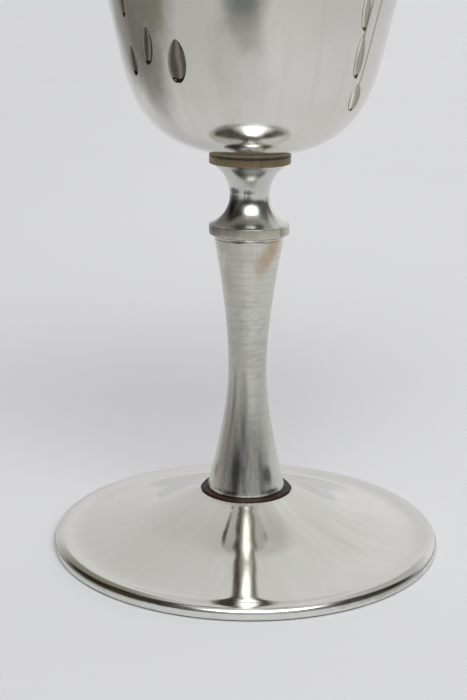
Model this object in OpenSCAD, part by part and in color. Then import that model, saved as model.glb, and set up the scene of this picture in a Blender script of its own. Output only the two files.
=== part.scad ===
// Communion chalice: a spun bowl, a turned neck and an hourglass stem on a wide spun foot.
// One threaded rod, soldered under the bowl, runs down the hollow neck and stem to a nut
// inside the foot and clamps the stack. The frame stands on the floor at z = 0, with the
// chalice's axis along +Z.

/* [Foot] */
// Diameter over the base ring
foot_d = 90; // [84:1:96]
// Height of the base ring
ring_h = 1.9; // [1.5:0.1:2.2]
// Radial width of the base ring
ring_w = 3; // [2.5:0.5:4]
// Slope of the foot next to the stem, rise per run
foot_slope = 0.47; // [0.46:0.005:0.48]
// Thickness of the spun sheet of the foot
foot_sheet = 1; // [0.8:0.1:1.2]

/* [Stem] */
// Height of the hourglass stem
stem_h = 60.2; // [56:0.2:70]
// Diameter of the stem at its waist
stem_waist_d = 8.8; // [8.6:0.1:10]
// Height of the waist above the stem's lower end
stem_waist_h = 28.8; // [26:0.2:32]
// Spread of the stem below its waist, radius per height
stem_flare_low = 0.275; // [0.25:0.005:0.28]
// Spread of the stem above its waist, radius per height
stem_flare_high = 0.212; // [0.2:0.002:0.22]
// Depth of the line turned round the top of the stem
stem_line_depth = 0.25; // [0.1:0.05:0.4]

/* [Neck] */
// Diameter of the collar under the neck
collar_d = 18.1; // [17.5:0.1:19]
// Height of the collar
collar_h = 2.1; // [1.6:0.1:2.6]
// Diameter of the neck at its waist
neck_waist_d = 8.9; // [8.4:0.1:9.4]
// Radius of the hollow curve below the waist
neck_curve_low = 6.9; // [6.8:0.1:7.2]
// Radius of the hollow curve above the waist
neck_curve_high = 8.1; // [7.8:0.1:8.4]

/* [Bowl] */
// Height of the bowl above its boss
bowl_h = 68.2; // [60:0.2:80]
// Diameter of the rounded part of the bowl, before its flare
bowl_d = 47.4; // [46:0.2:52]
// Height of the rounded part of the bowl
bowl_round_h = 23.4; // [22:0.2:26]
// How square the rounded part is: 2 is an ellipse
bowl_power = 2.92; // [2.6:0.02:3]
// Flare of the bowl, radius per height
bowl_flare = 0.222; // [0.2:0.002:0.24]
// Wall of the bowl
bowl_wall = 1; // [0.9:0.1:1.2]
// Depth of the pressed drops
drop_depth = 0.5; // [0.3:0.1:0.6]

/* [Clamping hardware] */
// Diameter of the tie rod's thread
rod_d = 5; // [4:0.5:5]
// Pitch of the tie rod's thread
rod_pitch = 0.8; // [0.7:0.1:0.8]
// Diameter of the bore through the neck, stem and foot
passage_d = 6; // [5.6:0.1:6.2]
// Diameter of the washer and the boss under the bowl
washer_d = 18.2; // [17.6:0.1:19]
// Thickness of the washer under the bowl
washer_t = 1.9; // [1.2:0.1:2.4]
// Thickness of the boss soldered to the bowl
boss_t = 0.8; // [0.8:0.1:1.6]
// Thickness of the fibre gasket under the stem
gasket_t = 1.1; // [0.8:0.1:1.6]
// Thickness of the spreader plate inside the foot
plate_t = 1.5; // [1:0.1:1.8]
// Thickness of the lock washer
lock_t = 0.8; // [0.6:0.1:1]
// Height of the nut
nut_h = 4; // [3.6:0.1:4.2]
// Width of the nut across its flats
nut_flats = 8; // [7.5:0.5:9]

/* [Hidden] */
$fn = 128;

silver = "#c9c7c3";
brass = "#8d7a56";
fibre = "#3a2a26";
steel = "#a7a9ab";

foot_r = foot_d / 2;
running_fit = 0.05;       // radial room between the thread and a bore that it turns in
lip_r = 10.9;             // crest of the rolled lip around the stem's seat
lip_roll = 0.4;           // radius of the lip
seat_r = 10.5;            // flat seat inside the lip
seat_drop = 0.3;          // seat below the middle of the lip's roll
gasket_r = 10.35;
plate_r = 11;
lock_r = 5;
rod_reach = 1.9;          // rod below the nut
bead_r = 0.6;             // radius of the foot's rolled edge
bead_meets = 101;         // angle round the rolled edge where the gutter's rise runs into it
gutter_r = foot_r - 4.5;  // lowest place of the foot, inside its rolled edge
gutter_rise = 0.35;       // gutter above the base ring
edge_break = 0.2;         // small chamfer on the turned edges
neck_low_climb = 0.942;   // how much of its radius the curve below the waist climbs
neck_high_climb = 0.877;  // the same above the waist
collar_step = 0.08;       // collar's top edge below the start of the curve

// The foot falls outwards at these slopes [radius, rise per run]: a steep cone by the stem, a
// lower skirt, level in the gutter, then a little upwards to the rolled edge.
foot_slopes = [
    [10.9, foot_slope], [14, foot_slope + 0.05], [20, foot_slope + 0.05], [22, foot_slope],
    [23.5, 0.4], [25, 0.33], [27, 0.265],
    [gutter_r - 4.5, 0.245], [gutter_r - 2.5, 0.2], [gutter_r - 1, 0.05], [gutter_r, -0.03],
    [gutter_r + 1.5, -0.14], [gutter_r + 2.5, -0.194], [foot_r, -0.194]
];
foot_steps = 40;

// Levels, from the floor up
gutter_z = ring_h + gutter_rise;
lip_z = foot_z(lip_r + lip_roll) - 0.1;
seat_z = lip_z - seat_drop;
stem_z = seat_z + gasket_t;
neck_z = stem_z + stem_h;
neck_waist_h = collar_h + collar_step + neck_curve_low * neck_low_climb;
neck_h = neck_waist_h + neck_curve_high * neck_high_climb;
washer_z = neck_z + neck_h;
boss_z = washer_z + washer_t;
bowl_z = boss_z + boss_t;
plate_z = seat_z - foot_sheet - plate_t;
lock_z = plate_z - lock_t;
nut_z = lock_z - nut_h;
rod_z = nut_z - rod_reach;

// Underside of the sheet below the foot's surface at a radius
function under_z(r) = foot_z(r) - foot_sheet * norm([1, foot_fall(r)]);

// Slope of the foot at a radius, and its height there: the slopes added up from the gutter
function foot_fall(r) = lookup(r, foot_slopes);
function foot_z(r) =
    let (steps = 24, step = (gutter_r - r) / steps)
    gutter_z + step * total([for (i = [0 : steps - 1]) foot_fall(r + (i + 0.5) * step)]);
function total(values, i = 0) = i < len(values) ? values[i] + total(values, i + 1) : 0;

// Points of an arc about a centre, from one angle to another
function arc(centre, r, a0, a1, steps) = [
    for (i = [0 : steps]) let (a = a0 + (a1 - a0) * i / steps) centre + r * [cos(a), sin(a)]
];

function reversed(points) = [for (i = [len(points) - 1 : -1 : 0]) points[i]];

// Radius of the stem at a height above its lower end
function stem_r(h) =
    let (flare = h < stem_waist_h ? stem_flare_low : stem_flare_high)
    norm([stem_waist_d / 2, flare * (h - stem_waist_h)]);

// Bowl outline, rounded part: a superellipse quarter that leans outwards by the flare.
// turn runs from 0 on the axis to 90 at the start of the plain wall.
function bowl_round(turn, inset, base) =
    let (
        low = (bowl_round_h - base) * pow(cos(turn), 2 / bowl_power),
        h = bowl_round_h - low,
        r = (bowl_d / 2 - inset) * pow(sin(turn), 2 / bowl_power)
    )
    [r + bowl_flare * h, h];

// Radius of the plain wall at a height: above ease_h the flare eases off towards the rim
ease_h = 34;
ease = 0.001;
function wall_r(h) = bowl_d / 2 + bowl_flare * h - ease * pow(max(0, h - ease_h), 2);

// Radius of the bowl's outside at a height
function bowl_surface_r(h) =
    h >= bowl_round_h
        ? wall_r(h)
        : bowl_d / 2 * pow(1 - pow(1 - h / bowl_round_h, bowl_power), 1 / bowl_power)
            + bowl_flare * h;

// The bowl's round is cut flat where it stands on the boss, this much above its lowest point
flat_cut = 0.53;
// Angle on the superellipse at which that flat ends
flat_turn = acos(pow(1 - flat_cut / bowl_round_h, bowl_power / 2));
round_steps = 18;
wall_steps = 8;
wall_top = bowl_h + flat_cut;
wall_heights = [
    for (i = [1 : wall_steps]) bowl_round_h + (wall_top - bowl_round_h) * i / wall_steps
];

// Pressed drops on one half of the bowl: azimuth from the front, height of the middle above
// the floor, length and width. The other half repeats them.
drops = [
    [-32, 112.5, 8.8, 4.9],
    [-47, 115.3, 7.8, 3.4],
    [-60, 112, 6.2, 3.5],
    [-59, 125, 8.4, 2.9],
    [49, 122.8, 8.6, 2.9],
    [51, 113.5, 9.2, 3.3],
    [57, 104.8, 5.8, 4.4]
];

module washer(outer_r, bore_r, z, t) {
    rotate_extrude()
        polygon([
            [bore_r, z], [outer_r - edge_break, z], [outer_r, z + edge_break],
            [outer_r, z + t - edge_break], [outer_r - edge_break, z + t], [bore_r, z + t]
        ]);
}

module foot_ring() {
    color(silver)
        rotate_extrude()
            polygon([
                [foot_r - ring_w, 0], [foot_r - edge_break, 0], [foot_r, edge_break],
                [foot_r, ring_h - edge_break], [foot_r - edge_break, ring_h],
                [foot_r - ring_w, ring_h]
            ]);
}

module foot() {
    bead_out = foot_r - 0.05 - bead_r;
    meet_r = bead_out + bead_r * cos(bead_meets);
    bead_z = foot_z(meet_r) - bead_r * sin(bead_meets);
    seam = asin((ring_h - bead_z) / bead_r);
    skirt_r0 = lip_r + lip_roll;
    skirt = [for (i = [0 : foot_steps - 1]) skirt_r0 + (meet_r - skirt_r0) * i / foot_steps];
    under = [for (r = reversed(skirt)) if (under_z(r) > ring_h + 0.1) [r, under_z(r)]];
    // the last point under the skirt that clears the ring decides where the sheet lands on it
    land_r = under[0][0] + (under[0][1] - ring_h) / foot_fall(under[0][0]);
    color(silver)
        rotate_extrude()
            polygon(concat(
                [[passage_d / 2, seat_z], [seat_r, seat_z]],
                arc([lip_r, lip_z], lip_roll, 180, 30, 6),
                [for (r = skirt) [r, foot_z(r)]],
                arc([bead_out, bead_z], bead_r, bead_meets, seam, 10),
                [[land_r, ring_h]],
                under,
                [[seat_r, seat_z - foot_sheet], [passage_d / 2, seat_z - foot_sheet]]
            ));
}

module stem_gasket() {
    color(fibre) washer(gasket_r, passage_d / 2, seat_z, gasket_t);
}

module stem() {
    steps = 28;
    bead_r = 8.2;             // plain band at the top of the stem
    bead_h = 0.55;
    line_h = 0.85;            // turned line below the top
    line_half = 0.25;
    line_z = stem_h - line_h;
    below = line_z - line_half - edge_break;
    color(silver)
        translate([0, 0, stem_z])
            rotate_extrude()
                polygon(concat(
                    [[passage_d / 2, 0], [stem_r(0) - edge_break, 0]],
                    [for (i = [0 : steps]) let (h = edge_break + below * i / steps) [stem_r(h), h]],
                    [
                        [stem_r(line_z) - stem_line_depth, line_z], [bead_r, stem_h - bead_h],
                        [bead_r, stem_h], [passage_d / 2, stem_h]
                    ]
                ));
}

module neck() {
    collar_r = collar_d / 2;
    waist_r = neck_waist_d / 2;
    low = [waist_r + neck_curve_low, neck_waist_h];
    high = [waist_r + neck_curve_high, neck_waist_h];
    color(silver)
        translate([0, 0, neck_z])
            rotate_extrude()
                polygon(concat(
                    [
                        [passage_d / 2, 0], [collar_r - edge_break, 0], [collar_r, edge_break],
                        [collar_r, collar_h - edge_break]
                    ],
                    arc(low, neck_curve_low, 180 + asin(neck_low_climb), 180, 10),
                    arc(high, neck_curve_high, 180, 180 - asin(neck_high_climb), 10),
                    [[passage_d / 2, neck_h]]
                ));
}

module bowl_washer() {
    color(brass) washer(washer_d / 2, rod_d / 2 + running_fit, washer_z, washer_t);
}

module bowl_boss() {
    color(brass) washer(washer_d / 2, rod_d / 2 + running_fit, boss_z, boss_t);
}

// A teardrop that cuts drop_depth into a flat wall at x = 0: a body of revolution about an
// axis outside the wall, whose cut is width wide and length long, pointed at its top.
module drop_cutter(length, width) {
    steps = 12;
    blunt = 0.5;       // how blunt the lower end is
    taper = 0.9;       // how fast the upper end closes
    fullest = 0.4016;  // largest value of t^blunt (1 - t)^taper, where the drop is widest
    far = (pow(width / 2, 2) - pow(drop_depth, 2)) / (2 * drop_depth);
    translate([far, 0, -length / 2])
        rotate_extrude()
            polygon(concat(
                [[0, 0]],
                [for (i = [0 : steps])
                    let (
                        t = i / steps,
                        half = width / 2 * pow(t, blunt) * pow(1 - t, taper) / fullest
                    )
                    [norm([far, half]), length * t]
                ],
                [[0, length]]
            ));
}

module bowl() {
    inner_floor = flat_cut + bowl_wall;
    rim_bead = 0.8;  // radius of the rolled rim
    rim_r = wall_r(wall_top - rim_bead) - bowl_wall / 2;
    outer = concat(
        [
            for (i = [0 : round_steps])
                bowl_round(flat_turn + (90 - flat_turn) * i / round_steps, 0, 0)
        ],
        [for (h = wall_heights) [wall_r(h), h]]
    );
    inner = concat(
        [for (i = [0 : round_steps]) bowl_round(90 * i / round_steps, bowl_wall, inner_floor)],
        [for (h = wall_heights) [wall_r(h) - bowl_wall, h]]
    );
    color(silver)
        difference() {
            rotate_extrude() {
                translate([0, bowl_z - flat_cut])
                    polygon(concat([[0, flat_cut]], outer, reversed(inner)));
                translate([rim_r, bowl_z + bowl_h - rim_bead]) circle(r = rim_bead, $fn = 32);
            }
            for (half = [0, 180], d = drops)
                let (
                    h = d[1] - bowl_z + flat_cut,
                    lean = atan(wall_r(h + 1) - wall_r(h))
                )
                rotate([0, 0, d[0] - 90 + half])
                    translate([bowl_surface_r(h), 0, d[1]])
                        rotate([0, lean, 0])
                            drop_cutter(d[2], d[3]);
        }
}

module tie_rod() {
    tip = rod_pitch / 2;
    color(steel)
        rotate_extrude()
            polygon([
                [0, rod_z], [rod_d / 2 - tip, rod_z], [rod_d / 2, rod_z + tip],
                [rod_d / 2, bowl_z], [0, bowl_z]
            ]);
}

module spreader_plate() {
    color(steel) washer(plate_r, passage_d / 2, plate_z, plate_t);
}

module lock_washer() {
    color(steel) washer(lock_r, rod_d / 2 + 2 * running_fit, lock_z, lock_t);
}

module foot_nut() {
    color(steel)
        translate([0, 0, nut_z])
            difference() {
                cylinder(h = nut_h, d = nut_flats / cos(30), $fn = 6);
                translate([0, 0, -1]) cylinder(h = nut_h + 2, r = rod_d / 2 + running_fit);
            }
}

foot_ring();
foot();
stem_gasket();
stem();
neck();
bowl_washer();
bowl_boss();
bowl();
tie_rod();
spreader_plate();
lock_washer();
foot_nut();
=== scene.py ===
"""Communion chalice: the looks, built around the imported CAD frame.

Lengths are in millimetres until mm() turns them into metres.
"""
import math

import bpy
from mathutils import Matrix, Vector


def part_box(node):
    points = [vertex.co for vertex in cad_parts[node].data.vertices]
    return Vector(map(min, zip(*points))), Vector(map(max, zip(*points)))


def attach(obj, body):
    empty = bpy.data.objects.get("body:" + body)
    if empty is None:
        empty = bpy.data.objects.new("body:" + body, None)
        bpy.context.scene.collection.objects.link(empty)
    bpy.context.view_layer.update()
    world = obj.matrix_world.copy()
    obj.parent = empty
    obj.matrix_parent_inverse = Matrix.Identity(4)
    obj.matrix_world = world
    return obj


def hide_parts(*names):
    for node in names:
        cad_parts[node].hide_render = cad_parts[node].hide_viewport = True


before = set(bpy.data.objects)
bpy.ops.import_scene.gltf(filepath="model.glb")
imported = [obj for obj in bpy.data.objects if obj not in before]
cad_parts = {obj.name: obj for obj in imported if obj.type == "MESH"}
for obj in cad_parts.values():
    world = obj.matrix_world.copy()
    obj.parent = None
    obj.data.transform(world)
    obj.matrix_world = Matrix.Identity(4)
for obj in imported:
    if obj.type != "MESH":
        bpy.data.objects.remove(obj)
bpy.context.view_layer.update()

MM = 0.001


def mm(value):
    """Metres from millimetres."""
    return value * MM


def levels(cad_node):
    """Lowest z, highest z and outer radius of a CAD node, in millimetres."""
    low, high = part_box(cad_node)
    return low.z / MM, high.z / MM, high.x / MM


RING_Z0, RING_Z1, RING_R = levels("foot_ring")
GASKET_Z0, GASKET_Z1, GASKET_R = levels("stem_gasket")
STEM_Z0, STEM_Z1, _ = levels("stem")
NECK_Z0, NECK_Z1, COLLAR_R = levels("neck")
WASHER_Z0, WASHER_Z1, WASHER_R = levels("bowl_washer")
BOSS_Z0, BOSS_Z1, BOSS_R = levels("bowl_boss")
BOWL_Z0, BOWL_Z1, _ = levels("bowl")
ROD_Z0, ROD_Z1, ROD_R = levels("tie_rod")
PLATE_Z0, PLATE_Z1, PLATE_R = levels("spreader_plate")
LOCK_Z0, LOCK_Z1, LOCK_R = levels("lock_washer")
NUT_Z0, NUT_Z1, NUT_R = levels("foot_nut")

PASSAGE_R = 3.0  # bore through neck, stem and foot
RUNNING_FIT = 0.05  # radial room around the thread
THREAD_BORE_R = ROD_R + RUNNING_FIT


# ---------------------------------------- outlines

FILLET_STEPS = 5
FILLET_REACH = 0.49  # largest share of an edge that one fillet takes


def arc(centre_r, centre_z, radius, start, end, steps):
    """Points of an arc in the (r, z) plane, angles in degrees from +r."""
    points = []
    for i in range(steps + 1):
        angle = math.radians(start + (end - start) * i / steps)
        points.append((centre_r + radius * math.cos(angle), centre_z + radius * math.sin(angle)))
    return points


def fillet_points(corner, before, after, fillet):
    """An arc in place of a corner. before and after lead from it along its two edges."""
    half = before.angle(after) / 2
    reach = min(fillet / math.tan(half), before.length * FILLET_REACH, after.length * FILLET_REACH)
    radius = reach * math.tan(half)
    inwards = (before.normalized() + after.normalized()).normalized()
    centre = corner + inwards * (radius / math.sin(half))
    first = corner + before.normalized() * reach - centre
    last = corner + after.normalized() * reach - centre
    turn = math.atan2(first.x * last.y - first.y * last.x, first.dot(last))
    points = []
    for k in range(FILLET_STEPS + 1):
        angle = turn * k / FILLET_STEPS
        c, s = math.cos(angle), math.sin(angle)
        points.append((centre.x + first.x * c - first.y * s, centre.y + first.x * s + first.y * c))
    return points


def ring_outline(inner, outer, low, high, fillets):
    """A ring's section. fillets: low inner, low outer, high outer and high inner corner."""
    corners = [Vector((inner, low)), Vector((outer, low)), Vector((outer, high)), Vector((inner, high))]
    points = []
    for i, (corner, fillet) in enumerate(zip(corners, fillets)):
        before = corners[i - 1] - corner
        after = corners[(i + 1) % len(corners)] - corner
        points += fillet_points(corner, before, after, fillet)
    return points


# ---------------------------------------- meshes

SHARP = 38  # edges that turn by more degrees than this are shaded sharp


def around(r, angle, z):
    """The point at a radius, an angle in radians from +x, and a height."""
    return r * math.cos(angle), r * math.sin(angle), z


def finish_mesh(name, vertices, faces, sharp=SHARP):
    """A smooth-shaded object from points in millimetres, with its sharp edges marked."""
    mesh = bpy.data.meshes.new(name)
    mesh.from_pydata([tuple(mm(c) for c in v) for v in vertices], [], faces)
    mesh.validate()
    mesh.shade_smooth()
    mesh.set_sharp_from_angle(angle=math.radians(sharp))
    piece = bpy.data.objects.new(name, mesh)
    bpy.context.scene.collection.objects.link(piece)
    return piece


def grid_faces(rows, columns, closed_rows):
    """Quads of a grid whose columns close round the axis and whose rows may close too."""
    faces = []
    for i in range(rows if closed_rows else rows - 1):
        below, above = i * columns, (i + 1) % rows * columns
        for j in range(columns):
            k = (j + 1) % columns
            faces.append((below + j, below + k, above + k, above + j))
    return faces


def cap_faces(rows, columns, low, high):
    """Triangles that close an open grid's first row to point low and its last row to point high."""
    faces = []
    last = (rows - 1) * columns
    for j in range(columns):
        k = (j + 1) % columns
        faces.append((k, j, low))
        faces.append((last + j, last + k, high))
    return faces


def lathe(name, outline, columns=192, shift=None):
    """Turns a closed outline of (r, z) points about the axis. shift(r, angle) may change a radius."""
    vertices = []
    for r, z in outline:
        for j in range(columns):
            angle = 2 * math.pi * j / columns
            vertices.append(around(shift(r, angle) if shift else r, angle, z))
    following = outline[1:] + outline[:1]
    area = sum(a[0] * b[1] - b[0] * a[1] for a, b in zip(outline, following))
    faces = grid_faces(len(outline), columns, True)
    if area < 0:
        faces = [tuple(reversed(f)) for f in faces]
    return finish_mesh(name, vertices, faces)


def place(piece, body, nodes, material):
    """Rides the piece on its body, puts it in place of its CAD nodes and gives it its finish."""
    piece.data.materials.append(material)
    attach(piece, body)
    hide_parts(*nodes)


# ---------------------------------------- node helpers


def node(tree, kind, inputs=None, **settings):
    """Adds a shader node. An input given as a socket is linked, any other value is set."""
    made = tree.nodes.new("ShaderNode" + kind)
    for key, value in settings.items():
        setattr(made, key, value)
    for key, value in (inputs or {}).items():
        socket = made.inputs[key]
        if isinstance(value, bpy.types.NodeSocket):
            tree.links.new(value, socket)
        else:
            socket.default_value = value
    return made


def maths(tree, operation, a, b=0.0):
    return node(tree, "Math", {0: a, 1: b}, operation=operation).outputs[0]


def plus(tree, a, b):
    return maths(tree, "ADD", a, b)


def minus(tree, a, b):
    return maths(tree, "SUBTRACT", a, b)


def times(tree, a, b):
    return maths(tree, "MULTIPLY", a, b)


def absolute(tree, value):
    return maths(tree, "ABSOLUTE", value)


def remap(tree, value, low, high, out_low=0.0, out_high=1.0, smooth=True):
    """value from low..high to out_low..out_high, clamped."""
    made = node(
        tree,
        "MapRange",
        {"Value": value, "From Min": low, "From Max": high, "To Min": out_low, "To Max": out_high},
        interpolation_type="SMOOTHSTEP" if smooth else "LINEAR",
    )
    return made.outputs["Result"]


MIX_FACTOR, MIX_A, MIX_B, MIX_RESULT = 0, 6, 7, 2  # the Mix node's sockets for colours


def mix_colour(tree, factor, a, b):
    """From colour a to colour b by factor. Each colour is a socket or (red, green, blue)."""
    a, b = (c if isinstance(c, bpy.types.NodeSocket) else (*c, 1.0) for c in (a, b))
    inputs = {MIX_FACTOR: factor, MIX_A: a, MIX_B: b}
    return node(tree, "Mix", inputs, data_type="RGBA").outputs[MIX_RESULT]


def object_point(tree):
    """The point on the piece in its own coordinates, in metres."""
    return node(tree, "TexCoord").outputs["Object"]


def stretched(tree, point, scale):
    return node(tree, "VectorMath", {0: point, 1: scale}, operation="MULTIPLY").outputs[0]


def cloud(tree, point, scale, detail, roughness=0.55):
    """Noise from 0 to 1 whose blotches are about 1/scale metres across."""
    inputs = {"Vector": point, "Scale": scale, "Detail": detail, "Roughness": roughness}
    return node(tree, "TexNoise", inputs).outputs[0]


def bump(tree, height, strength, distance, under=None):
    """A bumped normal, on top of the bumped normal under it if there is one."""
    inputs = {"Height": height, "Strength": strength, "Distance": mm(distance)}
    if under:
        inputs["Normal"] = under
    return node(tree, "Bump", inputs).outputs[0]


def new_material(name):
    material = bpy.data.materials.new(name)
    material.use_nodes = True
    material.node_tree.nodes.clear()
    return material, material.node_tree


def surface(tree, inputs):
    """The principled surface and its output."""
    shader = node(tree, "BsdfPrincipled", inputs)
    node(tree, "OutputMaterial", {"Surface": shader.outputs[0]})


def polar(tree, point):
    """Azimuth from the front (radians, + to the right), radius and height of a point."""
    x, y, z = node(tree, "SeparateXYZ", {0: point}).outputs
    azimuth = maths(tree, "ARCTAN2", x, times(tree, y, -1.0))
    radius = maths(tree, "SQRT", plus(tree, times(tree, x, x), times(tree, y, y)))
    return azimuth, radius, z


def wrapped(tree, point, per_radian, per_metre):
    """Seamless noise coordinates on a turned piece: per_radian round it and per_metre up it."""
    _, radius, z = polar(tree, point)
    x, y, _ = node(tree, "SeparateXYZ", {0: point}).outputs
    return node(tree, "CombineXYZ", {
        0: times(tree, maths(tree, "DIVIDE", x, radius), per_radian),
        1: times(tree, maths(tree, "DIVIDE", y, radius), per_radian),
        2: times(tree, z, per_metre),
    }).outputs[0]


# ---------------------------------------- materials

PRESSED = "pressed"  # how deep a point of the bowl is pressed in, from 0 to 1
ACROSS = "across"  # how far across its drop a point lies, from -1 at the left to 1
ENGRAVED = "engraved"  # how deep a point lies in an engraved line, from 0 to 1

ALL_ROUND = 4000  # half width in degrees of a stain that goes all round
FULL_HEIGHT = 4000  # half height in mm of a stain that goes all the way up
STAIN_EDGE = 1.35  # a stain starts at this many half sizes from its middle
STAIN_CORE = 0.35  # and is at its full strength from here inwards

PINKISH = (0.98, 0.92, 0.88)
GREENISH = (0.93, 0.97, 0.89)
DULL = (0.60, 0.58, 0.52)


def tinted(colour, tint):
    return tuple(c * share for c, share in zip(colour, tint))


def patch(tree, azimuth, z, ragged, where):
    """Soft mask of a stain.

    where says its middle (degrees round from the front, z in mm), its half width in degrees, its
    half height in mm, its strength, and how far the ragged noise moves its edge.
    """
    middle, height, wide, tall, strength, torn = where
    across = maths(tree, "DIVIDE", minus(tree, azimuth, math.radians(middle)), math.radians(wide))
    along = maths(tree, "DIVIDE", minus(tree, z, mm(height)), mm(tall))
    squares = plus(tree, times(tree, across, across), times(tree, along, along))
    reach = plus(tree, maths(tree, "SQRT", squares), times(tree, ragged, torn))
    return remap(tree, reach, STAIN_EDGE, STAIN_CORE, 0.0, strength)


LEFT, RIGHT = -0.3, 0.3  # azimuths in radians: looks change from left to right between them


def left_drop_painted_light(tree, across, wavy):
    """Painted light inside a drop on the left: painted dark reflection with a painted brown glint just
    right of its middle, paler at its left edge.
    """
    painted_glint = remap(tree, absolute(tree, minus(tree, wavy, 0.15)), 0.5, 0.0, 0.0, 0.75)
    tone = mix_colour(tree, painted_glint, (0.07, 0.062, 0.052), (0.30, 0.265, 0.24))
    return mix_colour(tree, remap(tree, across, -0.6, -1.0, 0.0, 0.8), tone, (0.40, 0.39, 0.32))


def right_drop_painted_light(tree, across, wavy):
    """Painted light inside a drop on the right: a painted highlight brightest at its middle, with painted
    dark reflection at both edges.
    """
    painted_glint = remap(tree, absolute(tree, minus(tree, wavy, -0.05)), 0.5, 0.15)
    tone = mix_colour(tree, painted_glint, (0.42, 0.41, 0.34), (0.85, 0.84, 0.76))
    at_edges = remap(tree, absolute(tree, across), 0.55, 0.95, 0.0, 0.6)
    return mix_colour(tree, at_edges, tone, (0.24, 0.225, 0.165))


def inside_drops(tree, point, azimuth, tone):
    """The tone with painted light (reflections and highlights) inside the drops and with dirt in the
    engraved lines, and the drops' depth.
    """
    names = (PRESSED, ACROSS, ENGRAVED)
    deep, across, engraved = (node(tree, "Attribute", attribute_name=n).outputs["Fac"] for n in names)
    wander = remap(tree, cloud(tree, point, 110, 1), 0.3, 0.7, -0.3, 0.3, smooth=False)
    wavy = plus(tree, across, wander)
    to_right = remap(tree, azimuth, LEFT, RIGHT)
    # painted reflections and highlights inside the drops, dark on the left and pale on the right
    painted_drop_light = mix_colour(tree, to_right, left_drop_painted_light(tree, across, wavy), right_drop_painted_light(tree, across, wavy))
    tone = mix_colour(tree, remap(tree, deep, 0.02, 0.35, 0.0, 0.95), tone, painted_drop_light)
    dirt = times(tree, engraved, remap(tree, azimuth, LEFT, RIGHT, 0.1, 0.9))
    return mix_colour(tree, dirt, tone, (0.22, 0.22, 0.15)), deep


LIP_FADE = 0.6  # the lip's wear fades out over this many mm
BEAD_FADE = 0.4
# painted dark reflection of the room on the rolled edge's left and right sides
EDGE_PAINTED_REFLECTION = [(-46, 0, 26, FULL_HEIGHT, 0.85, 0.0), (47, 0, 20, FULL_HEIGHT, 0.5, 0.0)]


def worn_edges_with_painted_reflection(tree, point, edges, tone, roughness):
    """Softer shine on the lip and the bead, duller at the back, with painted dark reflection on the bead's
    sides.
    """
    azimuth, radius, _ = polar(tree, point)
    lip, bead = edges
    on_lip = remap(tree, radius, mm(lip + LIP_FADE), mm(lip))
    on_bead = remap(tree, radius, mm(bead - BEAD_FADE), mm(bead))
    behind = remap(tree, absolute(tree, azimuth), math.radians(75), math.radians(105), 0.04, 0.4)
    roughness = plus(tree, roughness, times(tree, on_lip, 0.2))
    roughness = plus(tree, roughness, times(tree, on_bead, behind))
    # painted dark reflection on the bead's sides
    for where in EDGE_PAINTED_REFLECTION:
        painted_dark = times(tree, on_bead, patch(tree, azimuth, 0.0, 0.0, where))
        tone = mix_colour(tree, painted_dark, tone, (0.20, 0.18, 0.13))
    return tone, roughness


def clouded(tree, point, colour, warm, tarnish, streaks):
    """The colour under pink and green clouds, tarnish and wiped streaks, and the tarnish's mask."""
    low = stretched(tree, point, (1.0, 1.0, 0.6))
    pink = remap(tree, cloud(tree, point, 55, 3), 0.45, 0.75, 0.0, warm)
    green = remap(tree, cloud(tree, low, 90, 4), 0.5, 0.75, 0.0, warm)
    tarnished = remap(tree, cloud(tree, point, 38, 5, 0.6), 0.5, 0.8, 0.0, tarnish)
    wiped = cloud(tree, wrapped(tree, point, 9.0, 14.0), 1.0, 4, 0.6)
    streaked = remap(tree, wiped, 0.5, 0.72, 0.0, streaks)
    tone = colour
    for mask, tint in ((pink, PINKISH), (green, GREENISH), (tarnished, DULL), (streaked, DULL)):
        tone = mix_colour(tree, mask, tone, tinted(colour, tint))
    return tone, tarnished


def stained(tree, point, tone, stains, fray):
    """The tone under its stains, whose edges are ragged."""
    azimuth, _, z = polar(tree, point)
    torn = cloud(tree, wrapped(tree, point, *fray), 1.0, 4, 0.6)
    ragged = remap(tree, torn, 0.25, 0.75, -1.0, 1.0, smooth=False)
    for where, stain in stains:
        tone = mix_colour(tree, patch(tree, azimuth, z, ragged, where), tone, stain)
    return tone


def scuffed(tree, point, tone, dull, where):
    """The tone with short dull dashes round the piece, inside one patch."""
    azimuth, _, z = polar(tree, point)
    dashes = cloud(tree, wrapped(tree, point, 2.3, 1000.0), 1.0, 2, 0.5)
    zone = patch(tree, azimuth, z, 0.0, where)
    return mix_colour(tree, times(tree, zone, remap(tree, dashes, 0.48, 0.64)), tone, dull)


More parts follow.
